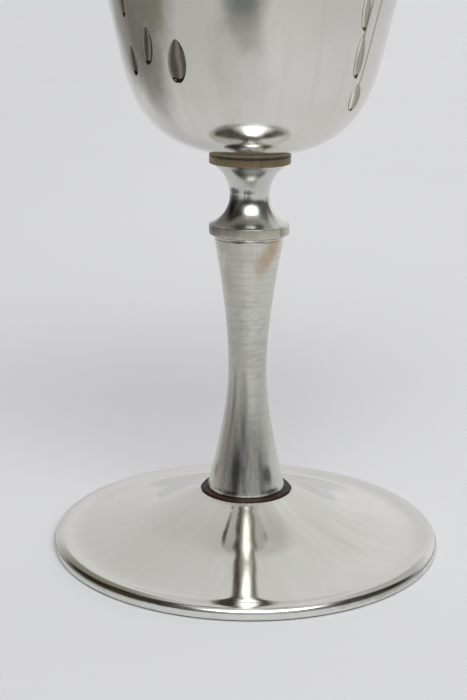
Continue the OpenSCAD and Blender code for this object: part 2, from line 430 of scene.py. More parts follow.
def silver_plate(name, colour, stains, rough, turned, warm, tarnish, streaks=0.2, waves=0.1,
                 grain=(5.0, 60.0), fray=(6.5, 160.0), marks=None, lined=0.0, pressed=False, edges=None):
    """Old silver plate.

    stains are (where, colour) pairs. turned and lined are how deep and how dark its turning lines
    are, warm how pink and green its clouds, waves how uneven its surface. grain and fray are how
    often its wiping and its stains' edges change, per radian round it and per metre up it.
    marks is a patch of dashes, pressed says that it has drops, and edges are the radii of the
    foot's worn lip and bead.
    """
    material, tree = new_material(name)
    point = object_point(tree)
    azimuth, radius, z = polar(tree, point)
    dull = tinted(colour, DULL)
    tone, tarnished = clouded(tree, point, colour, warm, tarnish, streaks)
    tone = stained(tree, point, tone, stains, fray)
    if marks:
        tone = scuffed(tree, point, tone, dull, marks)
    wiped = cloud(tree, wrapped(tree, point, *grain), 1.0, 4, 0.65)
    roughness = remap(tree, wiped, 0.3, 0.8, rough * 0.8, rough * 1.35)
    roughness = plus(tree, roughness, times(tree, tarnished, 0.25))
    if pressed:
        tone, deep = inside_drops(tree, point, azimuth, tone)
        roughness = times(tree, roughness, remap(tree, deep, 0.1, 0.5, 1.0, 0.5))
    if edges:
        tone, roughness = worn_edges_with_painted_reflection(tree, point, edges, tone, roughness)
    flat = node(tree, "CombineXYZ", {0: times(tree, radius, 0.6), 1: z}).outputs[0]
    if lined:
        tone = mix_colour(tree, remap(tree, cloud(tree, flat, 1300, 2), 0.45, 0.7, 0.0, lined), tone, dull)
    swell = bump(tree, cloud(tree, point, 95, 2), waves, 0.6)
    normal = bump(tree, cloud(tree, flat, 2600, 2), turned, 0.03, swell)
    surface(tree, {"Base Color": tone, "Metallic": 1.0, "Roughness": roughness, "Normal": normal})
    return material


def tarnished_brass(name, colour, rough, joint_shade_z=None):
    """Brass under a pinkish and green skin, with painted shade in the crevice along the joint at the height
    given last.
    """
    material, tree = new_material(name)
    point = object_point(tree)
    mottle = cloud(tree, point, 600, 4, 0.6)
    pink, green = tinted(colour, (1.15, 1.0, 1.05)), tinted(colour, (0.9, 1.1, 0.9))
    tone = mix_colour(tree, remap(tree, mottle, 0.35, 0.65), colour, pink)
    tone = mix_colour(tree, remap(tree, cloud(tree, point, 330, 3), 0.5, 0.65, 0.0, 0.8), tone, green)
    if joint_shade_z is not None:
        azimuth, _, z = polar(tree, point)
        ragged = remap(tree, cloud(tree, point, 700, 4, 0.6), 0.25, 0.75, -1.0, 1.0, smooth=False)
        # painted shade in the crevice where the boss meets the washer
        painted_joint_shade = patch(tree, azimuth, z, ragged, (0, joint_shade_z, ALL_ROUND, 0.35, 0.9, 0.3))
        tone = mix_colour(tree, painted_joint_shade, tone, (0.075, 0.055, 0.033))
    roughness = remap(tree, cloud(tree, point, 900, 3), 0.3, 0.7, rough * 0.8, rough * 1.2)
    normal = bump(tree, mottle, 0.3, 0.05)
    surface(tree, {"Base Color": tone, "Metallic": 0.75, "Roughness": roughness, "Normal": normal})
    return material


def fibre(name):
    """Dark vulcanised fibre, slightly shiny."""
    material, tree = new_material(name)
    grain = cloud(tree, object_point(tree), 1500, 4, 0.6)
    tone = mix_colour(tree, remap(tree, grain, 0.35, 0.65), (0.022, 0.010, 0.007), (0.045, 0.022, 0.016))
    normal = bump(tree, grain, 0.35, 0.05)
    surface(tree, {"Base Color": tone, "Roughness": 0.5, "Specular IOR Level": 0.25, "Normal": normal})
    return material


def plain_steel(name, colour=(0.56, 0.56, 0.55), rough=0.35):
    """Zinc-plated steel with a faint clouded film."""
    material, tree = new_material(name)
    point = object_point(tree)
    film = cloud(tree, point, 420, 4, 0.6)
    tone = mix_colour(tree, remap(tree, film, 0.4, 0.7), colour, tinted(colour, (0.72, 0.72, 0.72)))
    roughness = remap(tree, film, 0.3, 0.7, rough * 0.75, rough * 1.3)
    normal = bump(tree, cloud(tree, point, 4000, 2), 0.2, 0.02)
    surface(tree, {"Base Color": tone, "Metallic": 1.0, "Roughness": roughness, "Normal": normal})
    return material


def paper_floor(name):
    """A plain pale floor, faintly clouded, with a painted shadow darkening it a little to the left."""
    material, tree = new_material(name)
    point = object_point(tree)
    x = node(tree, "SeparateXYZ", {0: point}).outputs[0]
    clouds = remap(tree, cloud(tree, point, 3, 2), 0.3, 0.7)
    tone = mix_colour(tree, clouds, (0.78, 0.78, 0.805), (0.79, 0.79, 0.815))
    # painted shadow: the floor darkens a little towards the left
    tone = mix_colour(tree, remap(tree, x, 0.05, -0.25, 0.0, 0.05), tone, (0.0, 0.0, 0.0))
    surface(tree, {"Base Color": tone, "Roughness": 0.75})
    return material


# ---------------------------------------- foot, ring and gasket

SEAT_R = 10.5  # outer radius of the flat seat under the gasket
LIP_R = 10.9  # the rolled lip's middle
LIP_ROLL = 0.4
LIP_DROP = 0.1  # how far the lip's middle lies below the cone
CONE_R = LIP_R + 1.3  # where the lip gives way to the cone
GUTTER_R = 40.5
GUTTER_RISE = 0.35  # the foot at GUTTER_R, above the base ring
EDGE_INSET = 0.05  # how far the rolled edge stays inside the base ring's radius
BEAD = 1.18  # radius of the rolled edge
BEAD_MEETS = 78.7  # degrees round the rolled edge where the foot's surface runs into it
LIP_WEAR = 0.5  # the lip is worn this far out from its middle
BEAD_WEAR = 1.6  # and the edge this far in from the base ring's radius
FOOT_SHEET = 1.0
FOOT_ROWS = 72
SLOPE_STEPS = 48
# radius and slope: a steep cone by the stem, a lower skirt, a gutter, then up to the rolled edge
FOOT_SLOPES = [
    (10.9, 0.47), (14, 0.52), (20, 0.52), (22, 0.47), (23.5, 0.4), (25, 0.33), (27, 0.265),
    (36, 0.245), (38, 0.2), (39.5, 0.05), (40.5, -0.1), (41, -0.23), (42, -0.24), (43, -0.1),
    (44, 0.2), (45, 0.2),
]


def foot_fall(r):
    """Slope of the foot at a radius, positive where it falls outwards."""
    for (r0, fall0), (r1, fall1) in zip(FOOT_SLOPES, FOOT_SLOPES[1:]):
        if r <= r1:
            share = max(0.0, (r - r0) / (r1 - r0))
            return fall0 + (fall1 - fall0) * share
    return FOOT_SLOPES[-1][1]


def foot_z(r):
    """Height of the foot's surface at a radius: its slopes added up from the gutter."""
    step = (GUTTER_R - r) / SLOPE_STEPS
    falls = sum(foot_fall(r + (i + 0.5) * step) for i in range(SLOPE_STEPS))
    return RING_Z1 + GUTTER_RISE + step * falls


def foot_outline():
    """The foot's section: seat, rolled lip, spun surface, rolled edge, then back along the underside."""
    bead_r = RING_R - EDGE_INSET - BEAD
    last_r = bead_r + BEAD * math.cos(math.radians(BEAD_MEETS))
    bead_z = foot_z(last_r) - BEAD * math.sin(math.radians(BEAD_MEETS))
    seam = math.degrees(math.asin((RING_Z1 - bead_z) / BEAD))
    radii = [CONE_R + (last_r - CONE_R) * i / FOOT_ROWS for i in range(FOOT_ROWS)]
    outline = [(PASSAGE_R, GASKET_Z0), (SEAT_R - 0.1, GASKET_Z0)]
    outline += arc(LIP_R, foot_z(LIP_R + LIP_ROLL) - LIP_DROP, LIP_ROLL, 180, 62, 10)
    outline += [(r, foot_z(r)) for r in radii]
    outline += arc(bead_r, bead_z, BEAD, BEAD_MEETS, seam, 16)
    under = [(r, foot_z(r) - FOOT_SHEET * math.hypot(1, foot_fall(r))) for r in reversed(radii)]
    outline += [(r, z) for r, z in under if z > RING_Z1 + 0.05]
    outline += [(SEAT_R, GASKET_Z0 - FOOT_SHEET), (PASSAGE_R, GASKET_Z0 - FOOT_SHEET)]
    return outline


def make_foot():
    piece = lathe("foot_shell", foot_outline(), 256)
    film = (0.56, 0.545, 0.48)
    stains = [
        ((75, 10, 50, 6, 0.5, 0.4), film),
        ((25, 6, 45, 5, 0.25, 0.4), film),
        ((-35, 6, 40, 5, 0.2, 0.4), film),
    ]
    material = silver_plate("foot plate", (0.765, 0.757, 0.742), stains, rough=0.075, turned=0.04,
                            warm=0.3, tarnish=0.2, streaks=0.04, waves=0.03, grain=(16.0, 300.0),
                            edges=(LIP_R + LIP_WEAR, RING_R - BEAD_WEAR))
    place(piece, "stand", ["foot"], material)


RING_WIDTH = 3.0


def make_foot_ring():
    outline = ring_outline(RING_R - RING_WIDTH, RING_R, RING_Z0, RING_Z1, (0.2, 0.35, 0.15, 0.1))
    piece = lathe("base_ring", outline, 256)
    brown = (0.10, 0.075, 0.05)
    stains = [
        # painted contact shadow along the ring's lower edge, all round
        ((0, RING_Z0 + 0.1, ALL_ROUND, 0.32, 0.85, 0.1), brown),
        ((0, RING_Z1, ALL_ROUND, 0.3, 0.75, 0.15), brown),
        # painted dark reflection on the ring's top at the left and right
        ((-50, RING_Z1, 26, 0.7, 0.5, 0.2), (0.13, 0.12, 0.085)),
        ((47, RING_Z1 - 0.2, 22, 0.9, 0.5, 0.5), (0.25, 0.26, 0.19)),
    ]
    material = silver_plate("ring plate", (0.76, 0.78, 0.735), stains, rough=0.24, turned=0.1,
                            warm=0.4, tarnish=0.25, waves=0.05, fray=(30.0, 700.0))
    place(piece, "stand", ["foot_ring"], material)


def make_gasket():
    outline = ring_outline(PASSAGE_R, GASKET_R, GASKET_Z0, GASKET_Z1, (0.1, 0.2, 0.35, 0.1))
    piece = lathe("fibre_gasket", outline)
    place(piece, "stand", ["stem_gasket"], fibre("gasket fibre"))


# ---------------------------------------- stem

STEM_WAIST_R = 4.4
STEM_WAIST_H = 28.8  # the waist, above the stem's lower end
STEM_FLARE_LOW = 0.275
STEM_FLARE_HIGH = 0.212
STEM_EDGE = 0.3  # fillet at the stem's lower end
STEM_ROWS = 90
STEM_TOP_R = 8.12  # the rounded step above the turned line
STEM_TOP_EDGE = 0.25
STEM_TOP_FLAT_R = 8.0
LINE_DROP = 0.85  # the turned line, below the stem's upper end
LINE_START = 0.25  # where the hourglass gives way to the line, below the line's middle
# the line's groove: out from the hourglass, and up from the line's middle
LINE_GROOVE = [(0.0, -0.16), (-0.06, -0.05), (-0.06, 0.05), (0.02, 0.16)]
LINE_Z = STEM_Z1 - LINE_DROP


def stem_r(h):
    """Radius of the hourglass at a height above the stem's lower end."""
    flare = STEM_FLARE_LOW if h < STEM_WAIST_H else STEM_FLARE_HIGH
    return math.hypot(STEM_WAIST_R, flare * (h - STEM_WAIST_H))


def stem_outline():
    """The stem's section: rounded foot, hourglass, turned line and rounded top."""
    line_h = LINE_Z - STEM_Z0
    rise = line_h - LINE_START - STEM_EDGE
    heights = [STEM_EDGE + rise * i / STEM_ROWS for i in range(1, STEM_ROWS + 1)]
    outline = [(PASSAGE_R, STEM_Z0)]
    outline += arc(stem_r(0) - STEM_EDGE, STEM_Z0 + STEM_EDGE, STEM_EDGE, -90, 0, 5)
    outline += [(stem_r(h), STEM_Z0 + h) for h in heights]
    outline += [(stem_r(line_h) + out, LINE_Z + up) for out, up in LINE_GROOVE]
    outline += arc(STEM_TOP_R - STEM_TOP_EDGE, STEM_Z1 - STEM_EDGE, STEM_TOP_EDGE, -50, 60, 6)
    outline += [(STEM_TOP_FLAT_R, STEM_Z1), (PASSAGE_R, STEM_Z1)]
    return outline


def stem_stains():
    """Copper showing through at the top, olive tarnish about the waist, dark smears lower down."""
    copper, brown, sooty = (0.50, 0.355, 0.215), (0.42, 0.37, 0.28), (0.10, 0.08, 0.065)
    dark, olive, mauve = (0.12, 0.12, 0.115), (0.40, 0.405, 0.35), (0.40, 0.38, 0.42)
    return [
        ((-38, 48, 34, 34, 0.5, 0.15), olive),
        ((0, 40, ALL_ROUND, 16, 0.3, 0.2), olive),
        ((47, 71.8, 15, 3.0, 0.6, 0.25), copper),
        ((35, 69.3, 17, 3.0, 0.6, 0.25), copper),
        ((24, 67, 15, 2.8, 0.55, 0.25), copper),
        ((-50, 71.5, 18, 2.2, 0.55, 0.4), brown),
        ((-20, 69.5, 30, 3.5, 0.35, 0.5), brown),
        ((-46, 64, 14, 4, 0.4, 0.4), brown),
        # painted shade in the turned line, at the front
        ((-4, LINE_Z, 36, 0.3, 0.8, 0.05), (0.17, 0.135, 0.095)),
        ((-37, 36, 7, 7, 0.5, 0.15), (0.22, 0.20, 0.14)),
        ((-8, 34, 14, 9, 0.45, 0.2), dark),
        ((-40, 25, 6, 14, 0.45, 0.15), dark),
        ((-55, 24, 16, 14, 0.6, 0.2), (0.30, 0.26, 0.22)),
        ((-28, 24, 8, 14, 0.4, 0.2), (0.34, 0.28, 0.24)),
        ((-8, 25, 8, 9, 0.4, 0.15), (0.22, 0.20, 0.22)),
        ((-17.5, 19, 9, 7.5, 0.85, 0.1), (0.075, 0.075, 0.075)),
        ((4, 18, 13, 7, 0.4, 0.15), mauve),
        ((25, 18, 6, 6, 0.4, 0.15), dark),
        ((-63, 18.4, 7, 2.0, 0.55, 0.2), (0.16, 0.13, 0.12)),
        ((38, 18, 9, 2.4, 0.8, 0.2), (0.10, 0.105, 0.095)),
        ((-25, 13.6, 14, 0.9, 0.8, 0.4), sooty),
        ((-78, 13.8, 12, 1.0, 0.8, 0.4), sooty),
        ((42, 13.6, 14, 1.0, 0.8, 0.4), sooty),
    ]


def make_stem():
    piece = lathe("turned_stem", stem_outline())
    material = silver_plate("stem plate", (0.68, 0.685, 0.63), stem_stains(), rough=0.25, turned=0.08,
                            warm=0.4, tarnish=0.2, streaks=0.03, waves=0.08, grain=(4.0, 60.0),
                            fray=(5.0, 110.0), marks=(-10, 48, 80, 16, 0.5, 0.0), lined=0.3)
    place(piece, "stand", ["stem"], material)


# ---------------------------------------- neck

COLLAR_H = 2.1
COLLAR_LOW_EDGE = 0.2
COLLAR_HIGH_EDGE = 0.12
NECK_WAIST_R = 4.45
NECK_CURVE_LOW = 6.9
NECK_CURVE_HIGH = 8.1
WAIST_RISE = 0.942  # the waist's height above the collar, in radii of the low curve
NECK_WAIST_Z = NECK_Z0 + COLLAR_H + 0.08 + NECK_CURVE_LOW * WAIST_RISE
CURVE_LOW_END = 68.3  # degrees of the curve below the waist
CURVE_HIGH_END = math.degrees(math.asin(0.877))  # and above it
CURVE_ROWS = 28


def neck_outline():
    """The neck's section: sharp collar and waisted spool."""
    low_middle, high_middle = NECK_WAIST_R + NECK_CURVE_LOW, NECK_WAIST_R + NECK_CURVE_HIGH
    outline = [(PASSAGE_R, NECK_Z0), (COLLAR_R - 0.3, NECK_Z0)]
    outline += arc(COLLAR_R - COLLAR_LOW_EDGE, NECK_Z0 + 0.25, COLLAR_LOW_EDGE, -80, 0, 4)
    outline += arc(COLLAR_R - COLLAR_HIGH_EDGE, NECK_Z0 + COLLAR_H + 0.05, COLLAR_HIGH_EDGE, 0, 80, 4)
    outline += arc(low_middle, NECK_WAIST_Z, NECK_CURVE_LOW, 180 + CURVE_LOW_END, 180, CURVE_ROWS)
    outline += arc(high_middle, NECK_WAIST_Z, NECK_CURVE_HIGH, 180, 180 - CURVE_HIGH_END, CURVE_ROWS)[1:]
    outline += [(PASSAGE_R, NECK_Z1)]
    return outline


def neck_stains():
    """Brown round the collar, with painted dark reflections on the collar's sides, about the waist and at
    the left below it, a painted highlight line at the waist, and painted shade dimming the upper neck.
    """
    collar_z = NECK_Z0 + 1.1
    sooty, painted_dark_reflection = (0.075, 0.07, 0.055), (0.20, 0.185, 0.15)
    return [
        ((0, collar_z, ALL_ROUND, 1.3, 0.85, 0.1), (0.50, 0.465, 0.385)),
        # painted dark reflections on the collar's left side, with narrow upright ones at its right
        ((-66, collar_z, 32, 1.4, 0.9, 0.15), painted_dark_reflection),
        ((-24, collar_z + 0.3, 16, 1.2, 0.6, 0.2), painted_dark_reflection),
        ((-53, collar_z, 3, 1.2, 0.5, 0.1), (0.46, 0.44, 0.38)),
        ((2, collar_z - 0.2, 14, 1.2, 0.45, 0.2), (0.30, 0.27, 0.23)),
        ((51, collar_z, 3, 1.2, 0.6, 0.1), painted_dark_reflection),
        ((57, collar_z, 2.5, 1.2, 0.5, 0.1), painted_dark_reflection),
        # painted shade dimming the upper neck's reflections and its highlight
        ((0, 85.5, 60, 4.5, 0.5, 0.2), (0.45, 0.46, 0.42)),
        ((1, 86.2, 16, 1.8, 0.6, 0.1), (0.28, 0.29, 0.26)),
        # the sooty patches about the waist are painted dark reflections
        ((-50, 83.3, 24, 0.8, 0.85, 0.6), sooty),
        ((-3, 83.1, 16, 0.65, 0.75, 0.6), sooty),
        ((-50, 81.6, 26, 1.2, 0.85, 0.5), sooty),
        ((8, 85.2, 10, 1.3, 0.45, 0.1), (0.33, 0.335, 0.31)),
        ((-6, 81.4, 20, 0.9, 0.75, 0.6), sooty),
        ((24, 81.0, 14, 0.6, 0.5, 0.6), sooty),
        # painted highlight: a thin bright line round the waist
        ((-20, 82.55, 80, 0.12, 0.5, 0.1), (0.7, 0.7, 0.64)),
        # painted dark reflection at the left below the waist, with painted shade on the lower cone
        ((-64, 78.6, 32, 4.4, 0.97, 0.12), (0.035, 0.03, 0.024)),
        ((-40, 77.0, 30, 2.2, 0.7, 0.3), painted_dark_reflection),
        ((0, 77.0, 75, 2.1, 0.45, 0.2), painted_dark_reflection),
        ((60, 79.4, 9, 2.5, 0.95, 0.25), (0.15, 0.105, 0.07)),
    ]


def make_neck():
    piece = lathe("turned_neck", neck_outline())
    material = silver_plate("neck plate", (0.72, 0.725, 0.69), neck_stains(), rough=0.23, turned=0.06,
                            warm=0.3, tarnish=0.2, grain=(1.2, 260.0), fray=(16.0, 260.0))
    place(piece, "stand", ["neck"], material)


# ---------------------------------------- bowl

BOWL_BODY_R = 23.7  # radius of the rounded part, before the flare is added
BOWL_ROUND_H = 23.4  # height of the rounded part
BOWL_POWER = 2.92  # how square the rounded part is: 2 is an ellipse
BOWL_FLARE = 0.222
BOWL_WALL = 1.0
FLAT_CUT = 0.53  # how much of the rounded part's tip is cut off flat
EASE_H = 34.0  # height from which the flare eases off
EASE = 0.001
RIM_BEAD = 0.8
RIM_Z = BOWL_Z1 - 2 * RIM_BEAD  # where the wall meets the rolled rim
TIP_Z = BOWL_Z0 - FLAT_CUT  # where the rounded part's uncut tip would be
BOWL_FLAT_R = 4.0  # first point of the outside, on the flat
BOWL_SHARP = 42

DROP_BLUNT = 0.5  # how bluntly a drop closes at its lower end
DROP_TAPER = 0.66  # and how it tapers at the top
DROP_DEPTH = 0.75
DROP_SCOOP = 0.45  # depth of a narrow drop, as a share of its half width
DROP_REACH = 12  # no drop reaches further than this to either side of its middle, in degrees
DROPS_LOW, DROPS_HIGH = 101, 130  # the drops lie between these heights
# degrees round from the front, height of the middle, length, width, degrees of lean over the length
DROPS = [
    (-32, 112.5, 8.8, 4.9, 1.4),
    (-47, 115.3, 7.8, 3.4, 2.6),
    (-60, 112.0, 6.2, 3.5, 1.3),
    (-59, 125.0, 8.4, 2.9, 1.8),
    (49, 122.8, 8.6, 2.9, -2.0),
    (51, 113.5, 9.2, 3.3, -1.0),
    (57, 104.8, 5.8, 4.4, -3.0),
]
LINE_TOP = 147.0
LINE_FROM = 0.9  # an engraved line starts at this share of its drop's length
LINE_HALF_WIDTH = 0.32
LINE_LEAN = 0.14  # degrees per millimetre that the right-hand lines lean outwards
LINE_DEPTH = 0.07


def wall_r(h):
    return BOWL_BODY_R + BOWL_FLARE * h - EASE * max(0.0, h - EASE_H) ** 2


def bowl_r(h, inset=0.0, base=0.0):
    """Radius of the bowl's outside, or of its inside set in by inset, at h above TIP_Z."""
    if h >= BOWL_ROUND_H:
        return wall_r(h) - inset
    share = max(0.0, (BOWL_ROUND_H - h) / (BOWL_ROUND_H - base))
    body = (BOWL_BODY_R - inset) * max(0.0, 1 - share ** BOWL_POWER) ** (1 / BOWL_POWER)
    return body + BOWL_FLARE * h


def drop_width(t):
    """Width of a drop from 0 to 1, at t from 0 (lower end) to 1 (tip)."""
    fullest = DROP_BLUNT / (DROP_BLUNT + DROP_TAPER)
    widest = fullest ** DROP_BLUNT * (1 - fullest) ** DROP_TAPER
    return t ** DROP_BLUNT * (1 - t) ** DROP_TAPER / widest


def degrees_from(azimuth, middle):
    return (azimuth - middle + 180) % 360 - 180


def press_drop(away, t, radius, width):
    """Depth of a drop and how far across it a point lies, away degrees off its middle, or None."""
    half = width / 2 * drop_width(t) if 0 < t < 1 else 0.0
    side = abs(math.radians(away) * radius)
    if side >= half:
        return None
    depth = min(DROP_DEPTH, DROP_SCOOP * half) * (1 - (side / half) ** 2)
    return depth, math.copysign(side / half, away)


def engrave(away, z, radius, on_right):
    """Depth of an engraved line at a point away (in degrees) from it. The left-hand lines are finer."""
    off_line = abs(math.radians(away) * radius)
    share = 1.0 if on_right else 0.5
    half_line = LINE_HALF_WIDTH * share
    if z >= LINE_TOP or off_line >= half_line:
        return 0.0
    return LINE_DEPTH * share * (1 - (off_line / half_line) ** 2)


def drop_dent(azimuth, z, radius):
    """Depth of the drops at a point, how far across its drop it is, and depth of the engraved lines."""
    dent, across, line = 0.0, 0.0, 0.0
    for turned in (0, 180):
        for middle, height, length, width, lean in DROPS:
            t = (z - height) / length + 0.5
            centre = middle + turned + lean * (min(max(t, 0.0), 1.0) - 0.5)
            away = degrees_from(azimuth, centre)
            if abs(away) > DROP_REACH:
                continue
            dent, across = press_drop(away, t, radius, width) or (dent, across)
            if t > LINE_FROM:
                on_right = middle > 0
                leaning = LINE_LEAN * max(0.0, z - height) if on_right else 0.0
                line = max(line, engrave(away - leaning, z, radius, on_right))
    return dent, across, line


def spread(start, end, step):
    """Evenly spaced values from start up to but without end, about step apart."""
    count = max(1, round((end - start) / step))
    return [start + (end - start) * i / count for i in range(count)]


# degrees between the bowl's columns: over the drops, between them at the front, and at the sides
DROP_COLUMN, FRONT_COLUMN, SIDE_COLUMN = 0.4, 2, 2.2
LEFT_DROPS, RIGHT_DROPS = (-66, -24), (43, 69)  # sectors that the drops lie in, in degrees
# mm between the rows outside: over the drops, over the lines, and above them; and then inside
DROP_ROW, LINE_ROW, PLAIN_ROW = 0.3, 1.2, 2
INNER_DROP_ROW, INNER_ROW = 0.65, 2.5
# radians between the rows of the rounded part, and where its outside and inside end
OUTER_TURN, INNER_TURN = 0.055, 0.07
OUTER_TURN_END, INNER_TURN_END = math.radians(62), 0.12


def bowl_columns():
    """Azimuths in degrees, close together where the drops are. The second half repeats the first."""
    half = spread(*LEFT_DROPS, DROP_COLUMN) + spread(LEFT_DROPS[1], RIGHT_DROPS[0], FRONT_COLUMN)
    half += spread(*RIGHT_DROPS, DROP_COLUMN) + spread(RIGHT_DROPS[1], LEFT_DROPS[0] + 180, SIDE_COLUMN)
    return half + [azimuth + 180 for azimuth in half]


def outer_wall():
    """(r, z) up the bowl's outside, close together where the drops are."""
    first = math.acos((1 - FLAT_CUT / BOWL_ROUND_H) ** (BOWL_POWER / 2))
    outline = [(BOWL_FLAT_R, BOWL_Z0)]
    for turn in spread(first, OUTER_TURN_END, OUTER_TURN):
        h = BOWL_ROUND_H * (1 - math.cos(turn) ** (2 / BOWL_POWER))
        outline.append((bowl_r(h), TIP_Z + h))
    start = outline[-1][1] + 0.5
    plain_from = LINE_TOP + 1
    heights = spread(start, DROPS_HIGH, DROP_ROW) + spread(DROPS_HIGH, plain_from, LINE_ROW)
    heights += spread(plain_from, RIM_Z, PLAIN_ROW)
    return outline + [(bowl_r(z - TIP_Z), z) for z in heights]


def inner_wall():
    """(r, z) down the bowl's inside."""
    floor = FLAT_CUT + BOWL_WALL
    high, low = DROPS_HIGH + 1, DROPS_LOW
    heights = spread(RIM_Z - 0.4, high, -INNER_ROW) + spread(high, low, -INNER_DROP_ROW)
    outline = [(bowl_r(z - TIP_Z, BOWL_WALL, floor), z) for z in heights]
    first = math.acos(((BOWL_ROUND_H - (low - TIP_Z)) / (BOWL_ROUND_H - floor)) ** (BOWL_POWER / 2))
    for turn in spread(first, INNER_TURN_END, -INNER_TURN):
        h = BOWL_ROUND_H - (BOWL_ROUND_H - floor) * math.cos(turn) ** (2 / BOWL_POWER)
        outline.append((bowl_r(h, BOWL_WALL, floor), TIP_Z + h))
    return outline


def bowl_outline():
    """(r, z) up the outside, over the rolled rim and down the inside."""
    bead_r = wall_r(BOWL_Z1 - TIP_Z - RIM_BEAD) - BOWL_WALL / 2
    return outer_wall() + arc(bead_r, BOWL_Z1 - RIM_BEAD, RIM_BEAD, -35, 215, 16) + inner_wall()


def bowl_mesh():
    """The bowl with its drops and lines pressed in, and how deep and where they are at each point."""
    columns, outline = bowl_columns(), bowl_outline()
    vertices, depths, sides, lines = [], [], [], []
    for r, z in outline:
        pressed = DROPS_LOW - 1 < z < LINE_TOP + 1
        for azimuth in columns:
            dent, across, line = drop_dent(azimuth, z, r) if pressed else (0.0, 0.0, 0.0)
            depths.append(min(1.0, dent / DROP_DEPTH * 1.4))
            sides.append(across)
            lines.append(line / LINE_DEPTH)
            vertices.append(around(r - max(dent, line), math.radians(azimuth - 90), z))
    faces = grid_faces(len(outline), len(columns), False)
    low, high = len(vertices), len(vertices) + 1
    vertices += [(0, 0, BOWL_Z0), (0, 0, outline[-1][1])]
    faces += cap_faces(len(outline), len(columns), low, high)
    piece = finish_mesh("spun_bowl", vertices, faces, BOWL_SHARP)
    for name, values in ((PRESSED, depths), (ACROSS, sides), (ENGRAVED, lines)):
        layer = piece.data.attributes.new(name, "FLOAT", "POINT")
        layer.data.foreach_set("value", values + [0.0, 0.0])
    return piece


def make_bowl():
    """The bowl. Painted dark reflections lie about its left-hand drops, with a lone one in the middle."""
    stains = [
        ((0, 134, ALL_ROUND, 18, 0.3, 0.2), (0.50, 0.49, 0.42)),
        ((-24, 120, 26, 18, 0.4, 0.3), (0.52, 0.51, 0.42)),
        # painted dark reflection of the room at the left, about the left-hand drops
        ((-41, 128, 10, 15, 0.85, 0.12), (0.19, 0.175, 0.12)),
        ((-48, 110, 11, 9, 0.8, 0.15), (0.20, 0.175, 0.15)),
        ((-62, 120, 12, 14, 0.85, 0.2), (0.20, 0.175, 0.145)),
        ((-52, 120, 9, 11, 0.8, 0.15), (0.16, 0.14, 0.115)),
        # painted dark reflection in the middle of the front
        ((-3, 128, 9, 11, 0.9, 0.15), (0.15, 0.165, 0.145)),
        ((-50, 100, 12, 5, 0.25, 0.3), (0.40, 0.39, 0.37)),
        ((-3, 118, 10, 4, 0.35, 0.3), (0.44, 0.39, 0.36)),
        ((-5, 112, 14, 9, 0.2, 0.3), (0.36, 0.35, 0.32)),
    ]
    material = silver_plate("bowl plate", (0.755, 0.745, 0.70), stains, rough=0.13, turned=0.05,
                            warm=0.5, tarnish=0.25, streaks=0.15, waves=0.12, pressed=True)
    place(bowl_mesh(), "cup", ["bowl"], material)


# ---------------------------------------- boss and washer


def make_boss():
    outline = ring_outline(THREAD_BORE_R, BOSS_R, BOSS_Z0, BOSS_Z1, (0.05, 0.12, 0.04, 0.05))
    piece = lathe("solder_boss", outline)
    material = tarnished_brass("boss brass", (0.235, 0.215, 0.15), 0.42, BOSS_Z0)
    place(piece, "cup", ["bowl_boss"], material)


NICK_AT = 16  # degrees round from the front of the fine upright line on the washer's edge
NICK_HALF_WIDTH = 0.6  # in degrees
NICK_DEPTH = 0.12
NICK_FROM = WASHER_R - 0.5  # only points outside this radius move in


def nicked(r, angle):
    """The washer's radius, less the nick's depth where the nick is."""
    away = abs(degrees_from(math.degrees(angle) + 90, NICK_AT))
    return r - NICK_DEPTH if r > NICK_FROM and away < NICK_HALF_WIDTH else r


def make_washer():
    outline = ring_outline(THREAD_BORE_R, WASHER_R, WASHER_Z0, WASHER_Z1, (0.05, 0.25, 0.1, 0.05))
    piece = lathe("brass_washer", outline, 360, nicked)
    material = tarnished_brass("washer brass", (0.225, 0.18, 0.11), 0.42, WASHER_Z1)
    place(piece, "washer_ride", ["bowl_washer"], material)


# ---------------------------------------- clamping hardware

THREAD_PITCH = 0.8
THREAD_DEPTH = 0.45
THREADED = 16.0  # length of the thread, from the rod's lower end
THREAD_ROWS = 10  # rows of points in each turn
THREAD_FADE = 0.5  # the thread reaches its full height over this length
THREAD_STEEP, THREAD_ROOT = 1.25, 0.1  # leave the thread flat at its crest and at its root
ROD_COLUMNS = 48


def thread_r(z, turn):
    """Radius of the thread at a height, turn (0 to 1) of the way round the rod."""
    up = z - ROD_Z0
    fade = min(1.0, up / THREAD_FADE)
    run_out = min(1.0, (ROD_Z0 + THREADED - z) / THREAD_PITCH)
    phase = (up / THREAD_PITCH - turn) % 1.0
    crest = min(1.0, max(0.0, (1 - abs(2 * phase - 1)) * THREAD_STEEP - THREAD_ROOT))
    crest = crest * run_out + (1 - run_out)
    return ROD_R - THREAD_DEPTH + THREAD_DEPTH * crest * (0.4 + 0.6 * fade)


def make_rod():
    """The tie rod: a real helical thread over its lower end, plain above."""
    rows = int(THREADED / THREAD_PITCH * THREAD_ROWS)
    turns = [j / ROD_COLUMNS for j in range(ROD_COLUMNS)]
    vertices = []
    for z in [ROD_Z0 + THREADED * i / rows for i in range(rows + 1)]:
        vertices += [around(thread_r(z, turn), 2 * math.pi * turn, z) for turn in turns]
    vertices += [around(ROD_R, 2 * math.pi * turn, ROD_Z1) for turn in turns]
    low, high = len(vertices), len(vertices) + 1
    vertices += [(0, 0, ROD_Z0), (0, 0, ROD_Z1)]
    faces = grid_faces(rows + 2, ROD_COLUMNS, False) + cap_faces(rows + 2, ROD_COLUMNS, low, high)
    piece = finish_mesh("threaded_rod", vertices, faces)
    place(piece, "cup", ["tie_rod"], plain_steel("rod steel", (0.58, 0.58, 0.57), 0.3))


